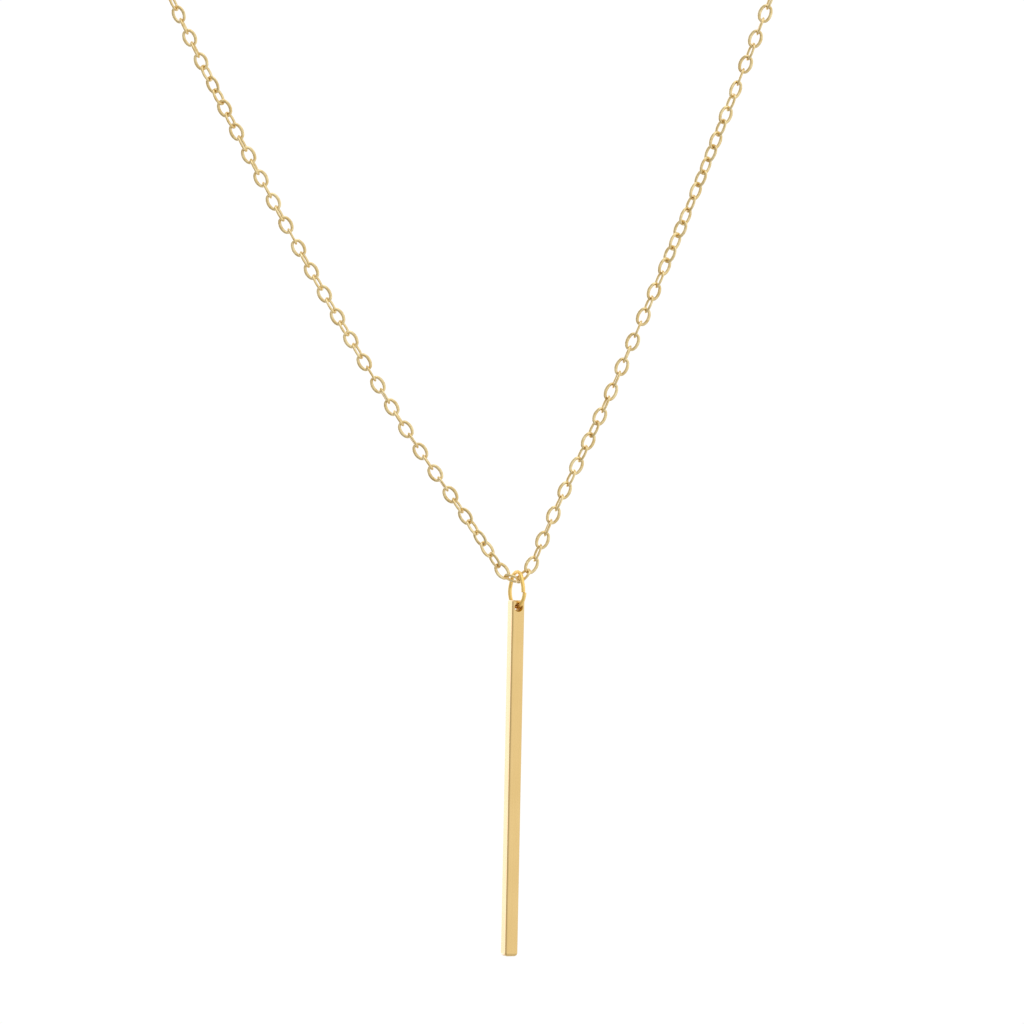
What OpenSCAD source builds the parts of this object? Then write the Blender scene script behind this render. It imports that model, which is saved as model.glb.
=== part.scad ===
/* [Bar] */
// Length of the bar
bar_len = 40; // [30:1:50]
// Side of the bar's square section
bar_w = 1.5; // [1.4:0.1:2]
// Bevel along every edge of the bar
bar_edge = 0.12; // [0.05:0.01:0.2]
// How far the bar's front is turned from the viewer, in degrees
bar_turn = 24; // [0:1:25]
// Diameter of the hole that the ring goes through
hole_d = 1.1; // [1.05:0.01:1.1]
// Height of the bar's top above the middle of its hole
hole_below_top = 0.8; // [0.7:0.01:1.2]
// How far the hole's middle hangs below the middle of the ring's wire
hole_sag = 0.06; // [0:0.01:0.06]

/* [Jump ring] */
// Wire of the ring
ring_wire = 0.44; // [0.3:0.01:0.46]
// Bend of the ring's wide lower end, to the middle of the wire
ring_low_r = 1.7; // [1.65:0.01:1.75]
// Bend of the ring's narrower upper end, to the middle of the wire
ring_top_r = 1.4; // [1.35:0.01:1.45]
// Height of the ring, to the middle of the wire
ring_h = 3.9; // [3.8:0.01:4.2]
// Height of the ring's top above the chain's lowest joint, to the middle of the wire
ring_above = 0.95; // [0.95:0.01:1.2]
// How far the ring's plane is turned from straight ahead, in degrees
ring_turn = 27.5; // [27:0.5:30]
// How far the ring hangs to the left of the chain's lowest joint
ring_aside = 0.16; // [0:0.01:0.2]

/* [Chain] */
// Wire of a link
link_wire = 0.2; // [0.16:0.01:0.2]
// Outer width of a link
link_w = 1.5; // [1.4:0.01:1.5]
// Outer length of a link
link_len = 2.07; // [2.05:0.01:2.1]
// Chain length that each link of the left strand adds
pitch_left = 1.48; // [1.47:0.01:1.52]
// Chain length that each link of the right strand adds, which hangs a little tauter
pitch_right = 1.53; // [1.48:0.01:1.53]
// Links in the left strand
links_left = 126; // [100:1:126]
// Links in the right strand
links_right = 121; // [100:1:121]

/* [Clasp] */
// Diameter of the plain clasp
clasp_d = 2.6; // [2:0.1:3.2]
// Wire of the clasp's two eyes
eye_wire = 0.5; // [0.4:0.05:0.6]
// Bend of each eye, to the middle of its wire
eye_r = 0.95; // [0.9:0.05:1.1]

/* [Hidden] */
$fn = 32;
gold = "#E3C17A";

// The necklace hangs from the back of the neck, at the origin, and its lowest joint is here
low_point = [6, -64, -105];

// How the left strand leans from upright, link by link at first and then along its length:
// [distance from the lowest joint, lean in degrees]
LEAN_LEFT = [[0.75, 72], [2.25, 38], [3.75, 34], [14, 36.5], [26, 32.7], [38, 31], [50, 29.5], [75, 26.8]];
LEAN_RIGHT = [[0.75, 45], [2.25, 27], [3.75, 21], [14, 25], [26, 22.2], [38, 21.8], [50, 20.5], [75, 19.8]];

// How far each strand's links are twisted round their own line, beyond the quarter turn
// from link to link: [distance from the lowest joint, twist in degrees]
TWIST_LEFT = [[0.75, 26], [2.25, 20], [3.75, 25], [5.2, 38], [12.75, 90]];
TWIST_RIGHT = [[0.75, 32], [2.25, 18], [3.75, 15], [24, 15], [28, 0], [31, 0], [41, 48], [53, 48], [60, 30], [62, 0]];

// The hidden stretch of each strand, as distances from the lowest joint: where it starts to
// turn round the neck, where it starts to lean over, and where it lies level
BACK_LEFT = [64.5, 92, 145.5];
BACK_RIGHT = [65, 90, 130];

// The two lowest links sit this much nearer to each other than their joints say
nip_left = 0.02;
nip_right = 0.03;

// A link is two half rings and two straight sides, measured to the middle of the wire
link_r = (link_w - link_wire) / 2;
link_run = link_len - link_w;

// Play between two links of the right strand that hang in each other, and the same play
// where each eye of the clasp hangs on a last link
link_play = link_len - 2 * link_wire - pitch_right;
eye_in = eye_r - (link_wire + eye_wire) / 2 - link_play + (link_play + link_wire) / 2;

// The direction of one link, from its lean and from how far it has turned round the neck
function heading(lean, turn, side) = [side * sin(lean) * cos(turn), sin(lean) * sin(turn), cos(lean)];
function clamp01(x) = min(1, max(0, x));
function lean_at(s, table, back) =
    let(at_turn = lookup(min(s, back[1]), table))
    at_turn + (90 - at_turn) * clamp01((s - back[1]) / (back[2] - back[1]));
function turn_at(s, back, end) = 180 * clamp01((s - back[0]) / (end - back[0]));

// Every link's lean, turn and start, for a strand of n links on one side of the lowest joint
function strand(n, pitch, table, back, side) =
    [for (i = 0, p = low_point, lean = lean_at(pitch / 2, table, back), turn = 0;
          i <= n;
          p = p + pitch * heading(lean, turn, side),
          i = i + 1,
          lean = lean_at((i + 0.5) * pitch, table, back),
          turn = turn_at((i + 0.5) * pitch, back, n * pitch))
        [lean, turn, p]];

LEFT = strand(links_left, pitch_left, LEAN_LEFT, BACK_LEFT, -1);
RIGHT = strand(links_right, pitch_right, LEAN_RIGHT, BACK_RIGHT, 1);

// A stretch of round wire bent to radius r about the Z axis, from angle a to angle b
module bent_wire(d, r, a, b) {
    rotate([0, 0, a]) rotate_extrude(angle = b - a) translate([r, 0]) circle(d = d);
}

// One long link, lying flat with its length along X
module link() {
    for (end = [0, 180]) rotate([0, 0, end]) {
        translate([link_run / 2, 0, 0]) bent_wire(link_wire, link_r, -90, 90);
        translate([-link_run / 2, link_r, 0]) rotate([0, 90, 0]) cylinder(d = link_wire, h = link_run);
    }
}

// A strand's links, each turned a quarter from the one before it and twisted as its table says
module links(path, pitch, twist, side, nip) {
    for (i = [0:len(path) - 2]) {
        lean = path[i][0];
        dir = heading(lean, path[i][1], side);
        way = side > 0 ? path[i][1] : 180 - path[i][1];
        roll = 90 * i + lookup((i + 0.5) * pitch, twist);
        translate(path[i][2] + dir * (pitch / 2 - (i == 0 ? nip : 0)))
            rotate([roll, lean - 90, way]) link();
    }
}

// The square bar with bevelled edges and a hole through its front near the top
module bar() {
    top = low_point[2] + ring_above - ring_h - hole_sag + hole_below_top;
    h = bar_w / 2;
    e = bar_edge;
    section = [[h - e, -h], [h, e - h], [h, h - e], [h - e, h], [e - h, h], [-h, h - e], [-h, e - h], [e - h, -h]];
    profile = [[h - e, 0], [h, -e], [h, e - bar_len], [h - e, -bar_len],
               [e - h, -bar_len], [-h, e - bar_len], [-h, -e], [e - h, 0]];
    color(gold) translate([low_point[0] - ring_aside, low_point[1], top]) rotate([0, 0, bar_turn]) difference() {
        intersection() {
            translate([0, 0, -bar_len]) linear_extrude(bar_len) polygon(section);
            rotate([90, 0, 0]) translate([0, 0, -h]) linear_extrude(bar_w) polygon(profile);
            rotate([90, 0, 90]) translate([0, 0, -h]) linear_extrude(bar_w) polygon(profile);
        }
        translate([0, 0, -hole_below_top]) rotate([90, 0, 0]) cylinder(d = hole_d, h = 2 * bar_w, center = true);
    }
}

// The egg-shaped ring that hangs on the chain and carries the bar
module jump_ring() {
    apart = ring_h - ring_low_r - ring_top_r;
    slant = asin((ring_low_r - ring_top_r) / apart);
    side_len = apart * cos(slant);
    color(gold) translate(low_point + [-ring_aside, 0, ring_above - ring_top_r]) rotate([90, 0, ring_turn - 90]) {
        bent_wire(ring_wire, ring_top_r, slant, 180 - slant);
        translate([0, -apart, 0]) bent_wire(ring_wire, ring_low_r, 180 - slant, 360 + slant);
        for (s = [0, 1]) mirror([s, 0, 0]) rotate([0, 0, slant]) translate([ring_top_r, 0, 0])
            rotate([90, 0, 0]) cylinder(d = ring_wire, h = side_len);
    }
}

module chain_left() {
    color(gold) links(LEFT, pitch_left, TWIST_LEFT, -1, nip_left);
}

module chain_right() {
    color(gold) links(RIGHT, pitch_right, TWIST_RIGHT, 1, nip_right);
}

// The plain closed clasp at the back of the neck, with an eye at each end
module clasp() {
    a = LEFT[links_left][2];
    b = RIGHT[links_right][2];
    span = norm(b - a);
    body = span - 2 * (eye_in + eye_r);
    r = clasp_d / 2;
    color(gold) translate((a + b) / 2)
        rotate([0, -asin((b - a)[2] / span), atan2((b - a)[1], (b - a)[0])]) {
            rotate([0, 90, 0]) rotate_extrude()
                polygon([[0, -body / 2], [r * 0.6, -body / 2], [r, r - body / 2],
                         [r, body / 2 - r], [r * 0.6, body / 2], [0, body / 2]]);
            for (s = [-1, 1]) translate([s * (span / 2 - eye_in), 0, 0]) rotate([90, 0, 0])
                rotate_extrude() translate([eye_r, 0]) circle(d = eye_wire);
        }
}

bar();
jump_ring();
chain_left();
chain_right();
clasp();
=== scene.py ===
"""A bar pendant on its egg-shaped ring and fine cable chain, finished as the real necklace is.

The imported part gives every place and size. A rounder and finer form in the metal of the real piece
replaces each of its solids, in the same place. A white studio and a camera that looks straight at
the jewel go round them.
"""

import math
import random
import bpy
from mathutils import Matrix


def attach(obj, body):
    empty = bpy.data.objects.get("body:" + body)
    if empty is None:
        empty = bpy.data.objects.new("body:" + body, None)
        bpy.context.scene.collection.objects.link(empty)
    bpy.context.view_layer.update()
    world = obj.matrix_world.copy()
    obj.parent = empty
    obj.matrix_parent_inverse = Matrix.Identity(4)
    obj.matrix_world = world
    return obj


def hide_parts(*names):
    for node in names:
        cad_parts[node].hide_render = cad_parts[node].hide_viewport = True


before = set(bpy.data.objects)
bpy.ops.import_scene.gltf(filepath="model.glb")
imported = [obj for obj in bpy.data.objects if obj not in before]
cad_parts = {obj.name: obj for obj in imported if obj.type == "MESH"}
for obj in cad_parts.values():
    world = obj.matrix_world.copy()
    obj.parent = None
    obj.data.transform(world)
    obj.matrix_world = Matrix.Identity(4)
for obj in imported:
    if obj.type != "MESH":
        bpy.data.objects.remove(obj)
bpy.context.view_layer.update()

from types import SimpleNamespace

import bmesh
import bpy
from mathutils import Matrix, Vector

MM = 0.001
UP = Vector((0, 0, 1))

# Sizes and places repeated from the part's source, in millimetres and degrees.

LOW_POINT = Vector((6, -64, -105))

BAR_LEN = 40
BAR_W = 1.5
BAR_TURN = 24
HOLE_BELOW_TOP = 0.8
HOLE_SAG = 0.06

RING_WIRE = 0.44
RING_LOW_R = 1.7
RING_TOP_R = 1.4
RING_H = 3.9
RING_ABOVE = 0.95
RING_TURN = 27.5
RING_ASIDE = 0.16

CLASP_D = 2.6
EYE_WIRE = 0.5
EYE_R = 0.95
EYE_IN = 0.63

# The two strands of the chain. Distances along a strand are measured from the lowest joint.
#   side: -1 left of the lowest joint, 1 right of it
#   count, pitch: how many links, and the chain length that each one adds
#   nip: how much nearer the lowest link sits to its neighbour across the joint
#   leans: (distance, how far the strand leans from upright)
#   twists: (distance, how far the links are twisted round the strand)
#   round_neck: where it starts to turn round the neck, starts to lean over, and lies level
#   turned_more: how much further single links near the front have turned than their neighbours
#   seed: fixes how far each link has settled, which is drawn at random

LEFT = SimpleNamespace(
    side=-1,
    count=126,
    pitch=1.48,
    nip=0.02,
    leans=[
        (0.75, 72), (2.25, 38), (3.75, 34), (14, 36.5),
        (26, 32.7), (38, 31), (50, 29.5), (75, 26.8),
    ],
    twists=[(0.75, 26), (2.25, 20), (3.75, 25), (5.2, 38), (12.75, 90)],
    round_neck=(64.5, 92, 145.5),
    turned_more={
        7: -5, 21: -12, 23: -16, 25: -16, 27: -20, 29: -20, 33: -16,
        37: -17, 39: -16, 41: -23, 43: -31, 44: -34, 45: -29, 46: -10,
    },
    seed=11,
)

RIGHT = SimpleNamespace(
    side=1,
    count=121,
    pitch=1.53,
    nip=0.03,
    leans=[
        (0.75, 45), (2.25, 27), (3.75, 21), (14, 25),
        (26, 22.2), (38, 21.8), (50, 20.5), (75, 19.8),
    ],
    twists=[
        (0.75, 32), (2.25, 18), (3.75, 15), (24, 15), (28, 0),
        (31, 0), (41, 48), (53, 48), (60, 30), (62, 0),
    ],
    round_neck=(65, 90, 130),
    turned_more={
        8: 5, 10: 10, 12: 22, 14: 4, 16: 5, 24: -4, 25: -10, 26: 5, 28: 7,
        29: -13, 30: -13, 31: -9, 32: 5, 35: -8, 36: -7, 37: -9, 39: 6, 42: 18,
    },
    seed=12,
)

# What the solids leave out, in millimetres and degrees.

# Polishing has rounded the bar's edges by BAR_EDGE, and those of its foot by more. It has
# softened the rim of its hole, where edges turn by more than RIM_ANGLE, by HOLE_RIM. The bar
# hangs BAR_ASIDE further left than its solid.
BAR_EDGE = 0.2
BAR_FOOT_EDGE = 0.36
HOLE_RIM = 0.02
RIM_ANGLE = 30
BAR_ASIDE = 0.06

# The bore, and how wide and deep it is opened at the front and at the back
BORE_D = 0.84
HOLE_FRONT = 1.02
SINK_FRONT = 0.15
HOLE_BACK = 0.92
SINK_BACK = 0.03

# Faces this far inside the hole's mouth that don't look along the bore are its wall, which takes
# the bore's metal with painted shade
WALL_INSET = 0.01
WALL_FACING = 0.95

# The links are of thicker wire than their solids and touch but for LINK_PLAY at each end. Their
# wire is rolled: it is wider by the share LINK_ROLLED at a link's sides, and LINK_THIN of its
# width thick. The tighter bend of an end reaches LINK_TIP_ANGLE to both sides. Each link has
# settled by up to LINK_SETTLE.
LINK_W = 1.55
LINK_WIRE = 0.32
LINK_HALF_W = (LINK_W - LINK_WIRE) / 2
LINK_PLAY = 0.004
LINK_ROLLED = 0.22
LINK_THIN = 0.92
LINK_TIP_ANGLE = 63
LINK_SETTLE = 7

# The ring's cut: where it is, how wide it is, and how far its ends stand past each other and in
# what direction. The ends come back into line over RING_CUT_EASE degrees. CUT_CHAMFER is a share
# of the wire's radius.
RING_CUT_AT = -2
RING_CUT_GAP = 0.015
RING_CUT_STEP = 0.19
RING_CUT_WAY = Vector((0.2, 0, 1))
RING_CUT_EASE = 60
CUT_CHAMFER = 0.18

# The clasp's flat tip and its bevel, the bow of its nose behind that, and the groove round its
# middle. The last four are shares of the clasp's radius.
TIP_FLAT_R = 0.5
TIP_R = 0.6
TIP_BEVEL = 0.04
NOSE_SETBACK = 0.1
GROOVE_LIP = 0.09
GROOVE_FLOOR = 0.05
NOSE_START_R = 0.62
NOSE_SWELL = 0.36
BARREL_R = 0.98
GROOVE_R = 0.94

# How finely the curves are cut: points along a wire's bends, and sides round each form
LOOP_POINTS = 40
WIRE_SIDES = 14
RING_POINTS = 120
RING_SIDES = 20
NOSE_STEPS = 8
CLASP_SIDES = 48
HOLE_SIDES = 64
EDGE_STEPS = 8
RIM_STEPS = 4

# Faces that meet at more than this angle keep a sharp edge between them
SHARP_ANGLE = 35

# The studio. White paper of brightness PAPER stands behind the jewel and to its right, its middle
# at the azimuth PAPER_AT. It fades into a dim room of brightness ROOM over PAPER_EDGE, given as the
# cosine of the angle from its middle. Light from below is dimmed to the share BELOW over LOW_EDGE,
# given as the height of a direction of length 1.
PAPER = 1.03
PAPER_AT = 130
PAPER_EDGE = (-0.62, -0.25)
ROOM = 0.56
BELOW = 0.75
LOW_EDGE = (-0.7, -0.1)
WHITE = "#FFFFFF"

# The floor's height and reach, in metres, and its brightness
FLOOR_AT = -0.45
FLOOR_REACH = 6
FLOOR_GLOW = 1.02

# The camera looks straight ahead at CAMERA_AIM from CAMERA_BACK metres, and FIELD is the width
# that it sees there.
CAMERA_AIM = Vector((5.11, -64, -97.32)) * MM
CAMERA_BACK = 0.6
CAMERA_ROLL = -1.15
FIELD = 115.06 * MM
FILM_WIDTH = 36


def lookup(at, table):
    """The table's value at a distance, straight between its rows and level beyond its ends."""
    if at <= table[0][0]:
        return table[0][1]
    for (a, low), (b, high) in zip(table, table[1:]):
        if at <= b:
            return low + (high - low) * (at - a) / (b - a)
    return table[-1][1]


def share(at, start, end):
    """How far along from start to end, from 0 to 1."""
    return min(1, max(0, (at - start) / (end - start)))


def ease(x):
    """From 0 to 1 as x goes from 0 to 1, with a soft start and end."""
    x = share(x, 0, 1)
    return x * x * (3 - 2 * x)


def circle(count):
    """The cosine and sine of each of count even steps round a circle."""
    angles = [2 * math.pi * k / count for k in range(count)]
    return [(math.cos(a), math.sin(a)) for a in angles]


def spin(x=0, y=0, z=0):
    """A turn about X, then Y, then Z, in degrees, as the part's source turns things."""
    return (
        Matrix.Rotation(math.radians(z), 3, "Z")
        @ Matrix.Rotation(math.radians(y), 3, "Y")
        @ Matrix.Rotation(math.radians(x), 3, "X")
    )


def heading(lean, turn, side):
    """The direction of one link, from its lean and from how far it has turned round the neck."""
    lean, turn = math.radians(lean), math.radians(turn)
    ahead = math.sin(lean)
    return Vector((side * ahead * math.cos(turn), ahead * math.sin(turn), math.cos(lean)))


def hang(strand):
    """Each link's lean, turn and start, from the lowest joint to the clasp."""
    turn_starts, over_starts, level_at = strand.round_neck
    place = LOW_POINT.copy()
    rows = []
    for i in range(strand.count + 1):
        at = (i + 0.5) * strand.pitch
        lean = lookup(min(at, over_starts), strand.leans)
        lean += (90 - lean) * share(at, over_starts, level_at)
        turn = 180 * share(at, turn_starts, strand.count * strand.pitch)
        rows.append((lean, turn, place.copy()))
        place += strand.pitch * heading(lean, turn, strand.side)
    return rows


def skin(rows, sides, closed=False):
    """The faces over rows of corners, each row once round, with flat ends unless it is closed."""
    faces = []
    for i in range(rows if closed else rows - 1):
        here, after = i * sides, (i + 1) % rows * sides
        for k in range(sides):
            beside = (k + 1) % sides
            faces.append((here + k, after + k, after + beside, here + beside))
    if not closed:
        last = (rows - 1) * sides
        faces.append(tuple(range(sides)))
        faces.append(tuple(range(last, last + sides))[::-1])
    return faces


def add_copy(corners, faces, shape, shape_faces):
    """Adds a shape's corners and faces to those of a larger form."""
    first = len(corners)
    corners.extend(shape)
    faces.extend(tuple(first + k for k in face) for face in shape_faces)


def wire_loop(line, radius, sides, in_plane=None):
    """Corners and faces of a closed wire whose middle follows a line that lies in the XY plane.

    A rolled wire is wider in that plane, and in_plane then gives half its width at each point.
    """
    count = len(line)
    in_plane = in_plane or [radius] * count
    corners = []
    for i, point in enumerate(line):
        along = (line[(i + 1) % count] - line[i - 1]).normalized()
        out = along.cross(UP)
        for c, s in circle(sides):
            corners.append(point + in_plane[i] * c * out + radius * s * UP)
    return corners, skin(count, sides, closed=True)


def open_wire(line, radius, sides):
    """A wire along an open line near the XY plane, its two cut ends flat with a small chamfer."""
    stations = []
    for i, point in enumerate(line):
        before, after = line[max(i - 1, 0)], line[min(i + 1, len(line) - 1)]
        stations.append((point, (after - before).normalized(), radius))
    chamfer = radius * CUT_CHAMFER
    (start, start_way, _), (end, end_way, _) = stations[0], stations[-1]
    stations[0] = (start + start_way * chamfer, start_way, radius)
    stations[-1] = (end - end_way * chamfer, end_way, radius)
    stations.insert(0, (start, start_way, radius - chamfer))
    stations.append((end, end_way, radius - chamfer))
    corners = []
    for point, along, r in stations:
        out = along.cross(UP).normalized()
        up = out.cross(along)
        corners.extend(point + r * (c * out + s * up) for c, s in circle(sides))
    return corners, skin(len(stations), sides)


def piece(name, corners, faces, body, node, metal):
    """A smooth-shaded piece, given in millimetres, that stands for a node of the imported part."""
    mesh = bpy.data.meshes.new(name)
    mesh.from_pydata([c * MM for c in corners], [], faces)
    mesh.validate()
    mesh.shade_smooth()
    mesh.set_sharp_from_angle(angle=math.radians(SHARP_ANGLE))
    dress(bpy.data.objects.new(name, mesh), body, node, metal)


def dress(obj, body, node, metal):
    """Puts a piece into the scene with its metal, its body and the node that it stands for."""
    bpy.context.scene.collection.objects.link(obj)
    obj.data.materials.append(metal)
    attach(obj, body)
    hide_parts(node)


def link_line(pitch):
    """The middle of one link's wire: an oval of four bends, tight on its neighbours."""
    half_len = (pitch + LINK_WIRE) / 2 + LINK_PLAY
    half_w = LINK_HALF_W
    tip = math.radians(LINK_TIP_ANGLE)
    c, s = math.cos(tip), math.sin(tip)
    end_r = (c * half_w - (1 - s) * half_len) / (c * s - (1 - s) * (1 - c))
    side_r = (half_w - s * end_r) / (1 - s)
    line = []
    for x, y in circle(LOOP_POINTS):
        if abs(y) < s:
            bend = Vector((math.copysign(half_len - end_r, x), 0, 0))
            r = end_r
        else:
            bend = Vector((0, -math.copysign(side_r - half_w, y), 0))
            r = side_r
        line.append(bend + r * Vector((x, y, 0)))
    return line


def links(name, strand, path, node, metal):
    """A strand's links, each turned a quarter from the one before it, twisted and settled."""
    settle = random.Random(strand.seed)
    line = link_line(strand.pitch)
    in_plane = [LINK_WIRE / 2 * (1 + LINK_ROLLED * (p.y / LINK_HALF_W) ** 2) for p in line]
    shape, shape_faces = wire_loop(line, LINK_WIRE / 2 * LINK_THIN, WIRE_SIDES, in_plane)
    corners, faces = [], []
    for i, (lean, turn, start) in enumerate(path[:-1]):
        way = turn if strand.side > 0 else 180 - turn
        twist = lookup((i + 0.5) * strand.pitch, strand.twists)
        roll = 90 * i + twist + strand.turned_more.get(i, 0)
        roll += settle.uniform(-LINK_SETTLE, LINK_SETTLE)
        turned = spin(x=roll, y=lean - 90, z=way)
        ahead = strand.pitch / 2 - (strand.nip if i == 0 else 0)
        middle = start + heading(lean, turn, strand.side) * ahead
        add_copy(corners, faces, [middle + turned @ c for c in shape], shape_faces)
    piece(name, corners, faces, "chain", node, metal)


def ring(metal):
    """The egg-shaped ring, cut in its front right side, where its ends stand past each other."""
    apart = RING_H - RING_LOW_R - RING_TOP_R
    slant = math.degrees(math.asin((RING_LOW_R - RING_TOP_R) / apart))
    gap = math.degrees(RING_CUT_GAP / RING_LOW_R)
    first = RING_CUT_AT + gap / 2
    angles = [first + (360 - gap) * i / RING_POINTS for i in range(RING_POINTS + 1)]
    line = []
    for a in angles:
        on_top = slant < a % 360 < 180 - slant
        r, y = (RING_TOP_R, 0) if on_top else (RING_LOW_R, -apart)
        from_start, to_end = a - angles[0], angles[-1] - a
        aside = ease(1 - from_start / RING_CUT_EASE) - ease(1 - to_end / RING_CUT_EASE)
        aside *= RING_CUT_STEP / 2
        bend = Vector((r * math.cos(math.radians(a)), y + r * math.sin(math.radians(a)), 0))
        line.append(bend + aside * RING_CUT_WAY)
    shape, faces = open_wire(line, RING_WIRE / 2, RING_SIDES)
    stand = spin(x=90, z=RING_TURN - 90)
    middle = LOW_POINT + Vector((-RING_ASIDE, 0, RING_ABOVE - RING_TOP_R))
    corners = [middle + stand @ c for c in shape]
    piece("split_ring", corners, faces, "ring", "jump_ring", metal)


def square_rod():
    """The bar before it is polished and drilled. Each edge's weight says how far it is rounded."""
    form = bmesh.new()
    bmesh.ops.create_cube(form, size=1)
    bmesh.ops.scale(form, vec=(BAR_W, BAR_W, BAR_LEN), verts=form.verts)
    bmesh.ops.translate(form, vec=(0, 0, -BAR_LEN / 2), verts=form.verts)
    roundness = form.edges.layers.float.new("bevel_weight_edge")
    for edge in form.edges:
        at_foot = all(v.co.z < -BAR_LEN / 2 for v in edge.verts)
        edge[roundness] = 1 if at_foot else BAR_EDGE / BAR_FOOT_EDGE
    mesh = bpy.data.meshes.new("square_rod")
    form.to_mesh(mesh)
    form.free()
    return mesh


def drill():
    """What the drill takes away: a straight bore, opened at the front and a little at the back."""
    front, back, narrow, face = HOLE_FRONT / 2, HOLE_BACK / 2, BORE_D / 2, BAR_W / 2
    profile = [
        (front, -2 * face),
        (front, -face),
        (narrow, SINK_FRONT - face),
        (narrow, face - SINK_BACK),
        (back, face),
        (back, 2 * face),
    ]
    corners = [
        (r * c, y, r * s - HOLE_BELOW_TOP)
        for r, y in profile
        for c, s in circle(HOLE_SIDES)
    ]
    mesh = bpy.data.meshes.new("drill")
    mesh.from_pydata(corners, [], skin(len(profile), HOLE_SIDES))
    return mesh


def polished_and_drilled():
    """The rod with its edges rounded and the drill cut out of it, as a mesh."""
    rod = bpy.data.objects.new("rod", square_rod())
    cutter = bpy.data.objects.new("cutter", drill())
    for obj in (rod, cutter):
        bpy.context.scene.collection.objects.link(obj)
    polish = rod.modifiers.new("polish", "BEVEL")
    polish.limit_method = "WEIGHT"
    polish.width = BAR_FOOT_EDGE
    polish.segments = EDGE_STEPS
    cut = rod.modifiers.new("cut", "BOOLEAN")
    cut.object = cutter
    cut.solver = "EXACT"
    bpy.context.view_layer.update()
    shaped = rod.evaluated_get(bpy.context.evaluated_depsgraph_get())
    mesh = bpy.data.meshes.new_from_object(shaped)
    for obj in (rod, cutter):
        bpy.data.objects.remove(obj)
    return mesh


def bar(metal, bore):
    """The square bar, with the rim of its hole softened and its bore in a metal of its own, which
    carries painted shade.
    """
    form = bmesh.new()
    form.from_mesh(polished_and_drilled())
    rim = [e for e in form.edges if e.calc_face_angle(0) > math.radians(RIM_ANGLE)]
    bmesh.ops.bevel(
        form, geom=rim, offset=HOLE_RIM, segments=RIM_STEPS, profile=0.5, affect="EDGES"
    )
    form.normal_update()
    for face in form.faces:
        x, y, z = face.calc_center_median()
        in_hole = math.hypot(x, z + HOLE_BELOW_TOP) < HOLE_FRONT / 2 - WALL_INSET
        # The bore's wall gets the darker, browner metal of painted shade
        if in_hole and abs(face.normal.y) < WALL_FACING:
            face.material_index = 1
    top = LOW_POINT.z + RING_ABOVE - RING_H - HOLE_SAG + HOLE_BELOW_TOP
    place = (LOW_POINT.x - RING_ASIDE - BAR_ASIDE, LOW_POINT.y, top)
    bmesh.ops.rotate(form, matrix=spin(z=BAR_TURN), verts=form.verts)
    bmesh.ops.translate(form, vec=place, verts=form.verts)
    bmesh.ops.scale(form, vec=(MM, MM, MM), verts=form.verts)
    mesh = bpy.data.meshes.new("hanging_bar")
    form.to_mesh(mesh)
    form.free()
    mesh.shade_smooth()
    obj = bpy.data.objects.new("hanging_bar", mesh)
    flat = obj.modifiers.new("flat_faces", "WEIGHTED_NORMAL")
    flat.weight = 100
    dress(obj, "bar", "bar", metal)
    # Slot 1 is the bore's gold with painted shade
    mesh.materials.append(bore)


def clasp(left_end, right_end, metal):
    """The plain barrel clasp at the back of the neck, between the two strands' ends."""
    way = right_end - left_end
    span = way.length
    half = span / 2 - EYE_IN - EYE_R
    r = CLASP_D / 2
    bow = r - NOSE_SETBACK
    profile = [(TIP_FLAT_R, half), (TIP_R, half - TIP_BEVEL)]
    for k in range(NOSE_STEPS + 1):
        t = math.radians(90 * k / NOSE_STEPS)
        out = r * NOSE_START_R + r * NOSE_SWELL * math.sin(t)
        profile.append((out, half - NOSE_SETBACK - bow * (1 - math.cos(t))))
    profile += [(r * BARREL_R, GROOVE_LIP), (r * GROOVE_R, GROOVE_FLOOR), (r * GROOVE_R, 0)]
    profile += [(out, -x) for out, x in profile[-2::-1]]
    corners = [Vector((x, out * c, out * s)) for out, x in profile for c, s in circle(CLASP_SIDES)]
    faces = skin(len(profile), CLASP_SIDES)
    eye_line = [Vector((EYE_R * c, EYE_R * s, 0)) for c, s in circle(LOOP_POINTS)]
    eye, eye_faces = wire_loop(eye_line, EYE_WIRE / 2, WIRE_SIDES)
    for end in (-1, 1):
        middle = Vector((end * (span / 2 - EYE_IN), 0, 0))
        add_copy(corners, faces, [spin(x=90) @ c + middle for c in eye], eye_faces)
    lie = spin(y=-math.degrees(math.asin(way.z / span)), z=math.degrees(math.atan2(way.y, way.x)))
    middle = (left_end + right_end) / 2
    corners = [middle + lie @ c for c in corners]
    piece("barrel_clasp", corners, faces, "chain", "clasp", metal)


def linear(hex_colour):
    """An sRGB hex value as a linear colour."""
    out = []
    for i in (1, 3, 5):
        c = int(hex_colour[i:i + 2], 16) / 255
        out.append(c / 12.92 if c <= 0.04045 else ((c + 0.055) / 1.055) ** 2.4)
    return (*out, 1)


def empty_tree(owner):
    """The node tree of a new material or world, with nothing in it."""
    owner.use_nodes = True
    owner.node_tree.nodes.clear()
    return owner.node_tree


def add_node(tree, kind, sockets=None, **settings):
    """Adds a node. Each socket is given a value, or the output of another node to link from."""
    node = tree.nodes.new(kind)
    for name, value in settings.items():
        setattr(node, name, value)
    for name, value in (sockets or {}).items():
        if isinstance(value, bpy.types.NodeSocket):
            tree.links.new(value, node.inputs[name])
        else:
            node.inputs[name].default_value = value
    return node


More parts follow.
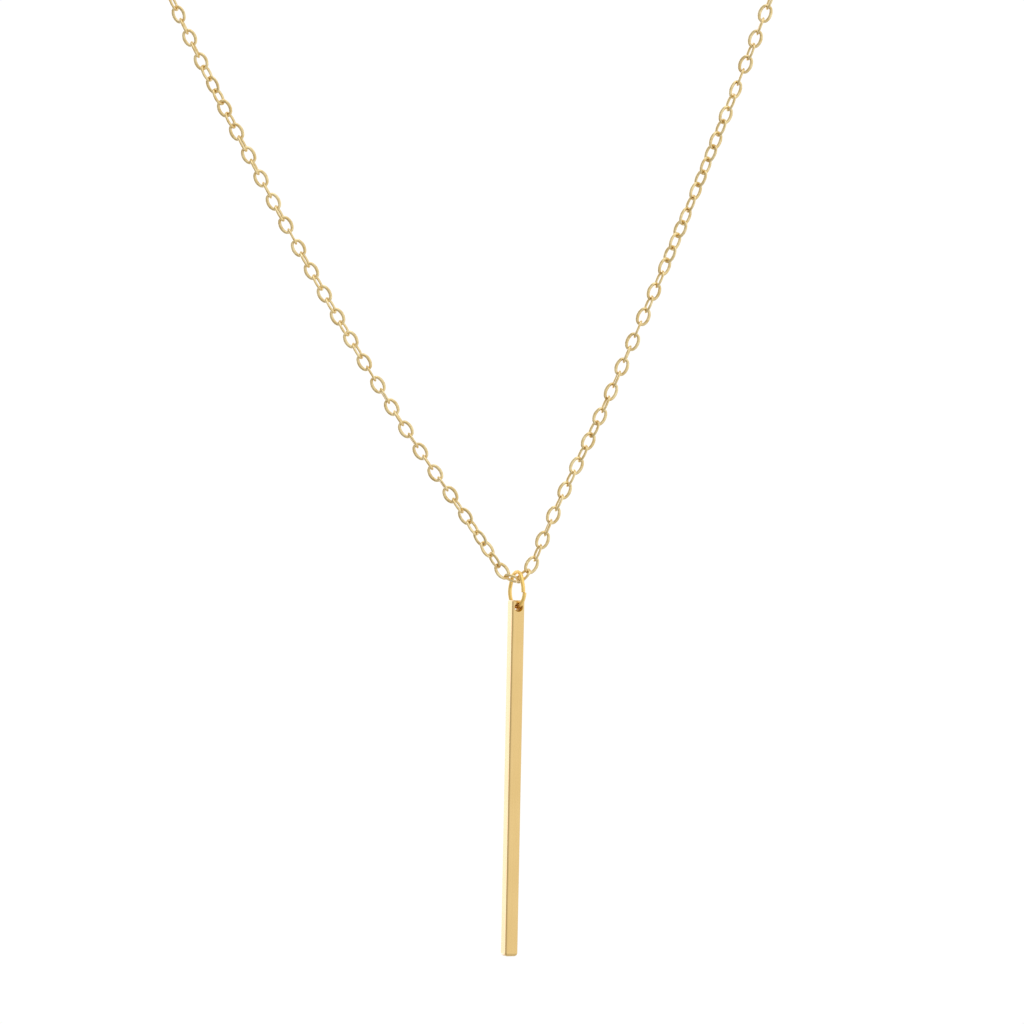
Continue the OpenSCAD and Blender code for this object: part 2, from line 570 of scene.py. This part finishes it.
def finish_metal(name, pale, deep, roughness, patch_mm, streak_mm, streak_len_mm, bump_mm):
    """Plated metal between two tones, which vary in patches and streaks.

    The streaks also vary its gloss and give it relief. A noise lies mostly from 0.3 to 0.7, and
    the sum of two from 0.7 to 1.3.
    """
    metal = bpy.data.materials.new(name)
    tree = empty_tree(metal)
    where = add_node(tree, "ShaderNodeTexCoord").outputs["Object"]
    patches = add_node(tree, "ShaderNodeTexNoise", {
        "Vector": where,
        "Scale": 1 / (patch_mm * MM),
        "Detail": 2.0,
    })
    across = 1 / (streak_mm * MM)
    along = 1 / (streak_len_mm * MM)
    grain = add_node(tree, "ShaderNodeMapping", {
        "Vector": where,
        "Scale": (across, across, along),
    })
    streaks = add_node(tree, "ShaderNodeTexNoise", {
        "Vector": grain.outputs["Vector"],
        "Scale": 1.0,
        "Detail": 3.0,
    })
    both = add_node(tree, "ShaderNodeMath", {
        0: patches.outputs["Fac"],
        1: streaks.outputs["Fac"],
    }, operation="ADD")
    shade = add_node(tree, "ShaderNodeMapRange", {
        "Value": both.outputs["Value"],
        "From Min": 0.7,
        "From Max": 1.3,
    })
    colour = add_node(tree, "ShaderNodeMixRGB", {
        "Fac": shade.outputs["Result"],
        "Color1": linear(deep),
        "Color2": linear(pale),
    })
    gloss = add_node(tree, "ShaderNodeMapRange", {
        "Value": streaks.outputs["Fac"],
        "From Min": 0.3,
        "From Max": 0.7,
        "To Min": roughness[0],
        "To Max": roughness[1],
    })
    relief = add_node(tree, "ShaderNodeBump", {
        "Height": streaks.outputs["Fac"],
        "Strength": 1.0,
        "Distance": bump_mm * MM,
    })
    shader = add_node(tree, "ShaderNodeBsdfPrincipled", {
        "Base Color": colour.outputs["Color"],
        "Metallic": 1.0,
        "Roughness": gloss.outputs["Result"],
        "Normal": relief.outputs["Normal"],
    })
    add_node(tree, "ShaderNodeOutputMaterial", {"Surface": shader.outputs["BSDF"]})
    return metal


def glow(name, colour, strength):
    """A surface that is evenly bright by itself."""
    material = bpy.data.materials.new(name)
    tree = empty_tree(material)
    light = add_node(tree, "ShaderNodeEmission", {"Color": linear(colour), "Strength": strength})
    add_node(tree, "ShaderNodeOutputMaterial", {"Surface": light.outputs["Emission"]})
    return material


def round_the_jewel(azimuth, elevation):
    """A direction seen from the pendant. Azimuth 0 is the camera's side, and 90 the right."""
    a, e = math.radians(azimuth), math.radians(elevation)
    return Vector((math.sin(a) * math.cos(e), -math.cos(a) * math.cos(e), math.sin(e)))


def softbox(name, azimuth, elevation, distance, width, height, radiance, colour=WHITE):
    """A soft light of even brightness, in metres. Its radiance is set against white paper, 1."""
    lamp = bpy.data.lights.new(name, "AREA")
    lamp.shape = "RECTANGLE"
    lamp.size, lamp.size_y = width, height
    lamp.energy = radiance * math.pi * width * height
    lamp.color = linear(colour)[:3]
    obj = bpy.data.objects.new(name, lamp)
    jewel = LOW_POINT * MM
    obj.location = jewel + distance * round_the_jewel(azimuth, elevation)
    obj.rotation_mode = "QUATERNION"
    obj.rotation_quaternion = (jewel - obj.location).to_track_quat("-Z", "Y")
    obj.visible_camera = False
    bpy.context.scene.collection.objects.link(obj)


def studio_walls():
    """White paper behind the jewel and to its right, and a dim room on the camera's left.

    The camera itself sees white paper wherever it stands.
    """
    world = bpy.data.worlds.new("studio_walls")
    bpy.context.scene.world = world
    tree = empty_tree(world)
    way = add_node(tree, "ShaderNodeTexCoord").outputs["Generated"]
    facing = add_node(tree, "ShaderNodeVectorMath", {
        0: way,
        1: round_the_jewel(PAPER_AT, 0),
    }, operation="DOT_PRODUCT")
    sides = add_node(tree, "ShaderNodeMapRange", {
        "Value": facing.outputs["Value"],
        "From Min": PAPER_EDGE[0],
        "From Max": PAPER_EDGE[1],
        "To Min": ROOM,
        "To Max": PAPER,
    }, interpolation_type="SMOOTHSTEP")
    height = add_node(tree, "ShaderNodeSeparateXYZ", {"Vector": way}).outputs["Z"]
    below = add_node(tree, "ShaderNodeMapRange", {
        "Value": height,
        "From Min": LOW_EDGE[0],
        "From Max": LOW_EDGE[1],
        "To Min": BELOW,
        "To Max": 1.0,
    }, interpolation_type="SMOOTHSTEP")
    room = add_node(tree, "ShaderNodeMath", {
        0: sides.outputs["Result"],
        1: below.outputs["Result"],
    }, operation="MULTIPLY")
    seen = add_node(tree, "ShaderNodeLightPath").outputs["Is Camera Ray"]
    tone = add_node(tree, "ShaderNodeMix", {
        "Factor": seen,
        "A": room.outputs["Value"],
        "B": PAPER,
    })
    light = add_node(tree, "ShaderNodeBackground", {
        "Color": linear(WHITE),
        "Strength": tone.outputs["Result"],
    })
    add_node(tree, "ShaderNodeOutputWorld", {"Surface": light.outputs["Background"]})


def white_floor():
    """A plain white floor far below the jewel, which doesn't mirror in the metal."""
    mesh = bpy.data.meshes.new("floor")
    around = ((-1, -1), (1, -1), (1, 1), (-1, 1))
    corners = [(FLOOR_REACH * x, FLOOR_REACH * y, FLOOR_AT) for x, y in around]
    mesh.from_pydata(corners, [], [(0, 1, 2, 3)])
    mesh.materials.append(glow("white_floor", WHITE, FLOOR_GLOW))
    floor = bpy.data.objects.new("floor", mesh)
    floor.visible_glossy = False
    bpy.context.scene.collection.objects.link(floor)


def straight_on_camera():
    """The camera at the photograph's angle, straight ahead and rolled a little."""
    lens = bpy.data.cameras.new("camera")
    lens.sensor_width = FILM_WIDTH
    lens.lens = FILM_WIDTH * CAMERA_BACK / FIELD
    camera = bpy.data.objects.new("camera", lens)
    camera.location = CAMERA_AIM + Vector((0, -CAMERA_BACK, 0))
    camera.rotation_euler = (math.radians(90), math.radians(CAMERA_ROLL), 0)
    bpy.context.scene.collection.objects.link(camera)
    bpy.context.scene.camera = camera


# Gold-plated brass bar, ground and polished along its length. The eye gets broad even reflections
# with faint lengthwise lines. Polishing lines are a hundredth of a millimetre apart, far too fine
# to show, so they are drawn 0.16 mm apart and 5 mm long, and the plating's tone drifts over 6 mm.
polished_bar = finish_metal(
    "polished_gold_plated_brass",
    pale="#E9C98A",
    deep="#E2C181",
    roughness=(0.16, 0.24),
    patch_mm=6,
    streak_mm=0.16,
    streak_len_mm=5,
    bump_mm=0.004,
)

# The bore as the drill left it under the same plating. It is dull with fine tool marks, drawn
# 0.1 mm apart. Its deep brown gold, deeper than the bar's, is painted shade: the shade and the
# gold-on-gold bounce light in the hole, painted into its colour.
bore_painted_shade = finish_metal(
    "gold_plated_bore_painted_shade",
    pale="#E6BA38",
    deep="#D2A62E",
    roughness=(0.6, 0.75),
    patch_mm=0.6,
    streak_mm=0.1,
    streak_len_mm=0.1,
    bump_mm=0.004,
)

# Drawn brass wire, plated and tumbled. The eye gets a satin glow with no sharp highlight. The
# burnishing marks of the tumbling media are drawn 0.3 mm wide.
ring_wire = finish_metal(
    "drawn_gold_plated_ring_wire",
    pale="#FFE08C",
    deep="#FFD478",
    roughness=(0.38, 0.5),
    patch_mm=1.5,
    streak_mm=0.3,
    streak_len_mm=0.3,
    bump_mm=0.001,
)

# The chain's thinner wire, rolled and plated after linking. It is glossier and paler than the
# ring's, with a tone that drifts over 1.2 mm, so from link to link, where the links hid each
# other from the bath. Its rolling marks are drawn 0.3 mm wide.
chain_wire = finish_metal(
    "rolled_gold_plated_chain_wire",
    pale="#F8E5B2",
    deep="#DCBE7E",
    roughness=(0.2, 0.3),
    patch_mm=1.2,
    streak_mm=0.3,
    streak_len_mm=0.3,
    bump_mm=0.002,
)

# A barrel turned on a lathe and plated. It is the smoothest finish of the necklace, with its
# lathe marks drawn 0.25 mm wide.
turned_clasp = finish_metal(
    "turned_gold_plated_clasp",
    pale="#E9CC90",
    deep="#DFBE7C",
    roughness=(0.12, 0.22),
    patch_mm=2,
    streak_mm=0.25,
    streak_len_mm=0.25,
    bump_mm=0.003,
)

left_path = hang(LEFT)
right_path = hang(RIGHT)
links("left_strand", LEFT, left_path, "chain_left", chain_wire)
links("right_strand", RIGHT, right_path, "chain_right", chain_wire)
ring(ring_wire)
bar(polished_bar, bore_painted_shade)
clasp(left_path[-1][2], right_path[-1][2], turned_clasp)

# The left softbox stands behind the jewel, where the bar's narrow left face mirrors it to the
# camera. The front one lifts the wires a little, and the top one lights them from above.
studio_walls()
white_floor()
softbox(
    "left_softbox", azimuth=-145, elevation=5, distance=1.3,
    width=0.8, height=1.6, radiance=1.2, colour="#C4C4FF",
)
softbox(
    "front_softbox", azimuth=-15, elevation=0, distance=1.2,
    width=0.8, height=0.8, radiance=0.2,
)
softbox(
    "top_softbox", azimuth=10, elevation=65, distance=1.2,
    width=0.7, height=0.7, radiance=0.8,
)
straight_on_camera()
bpy.context.scene.view_settings.view_transform = "Standard"
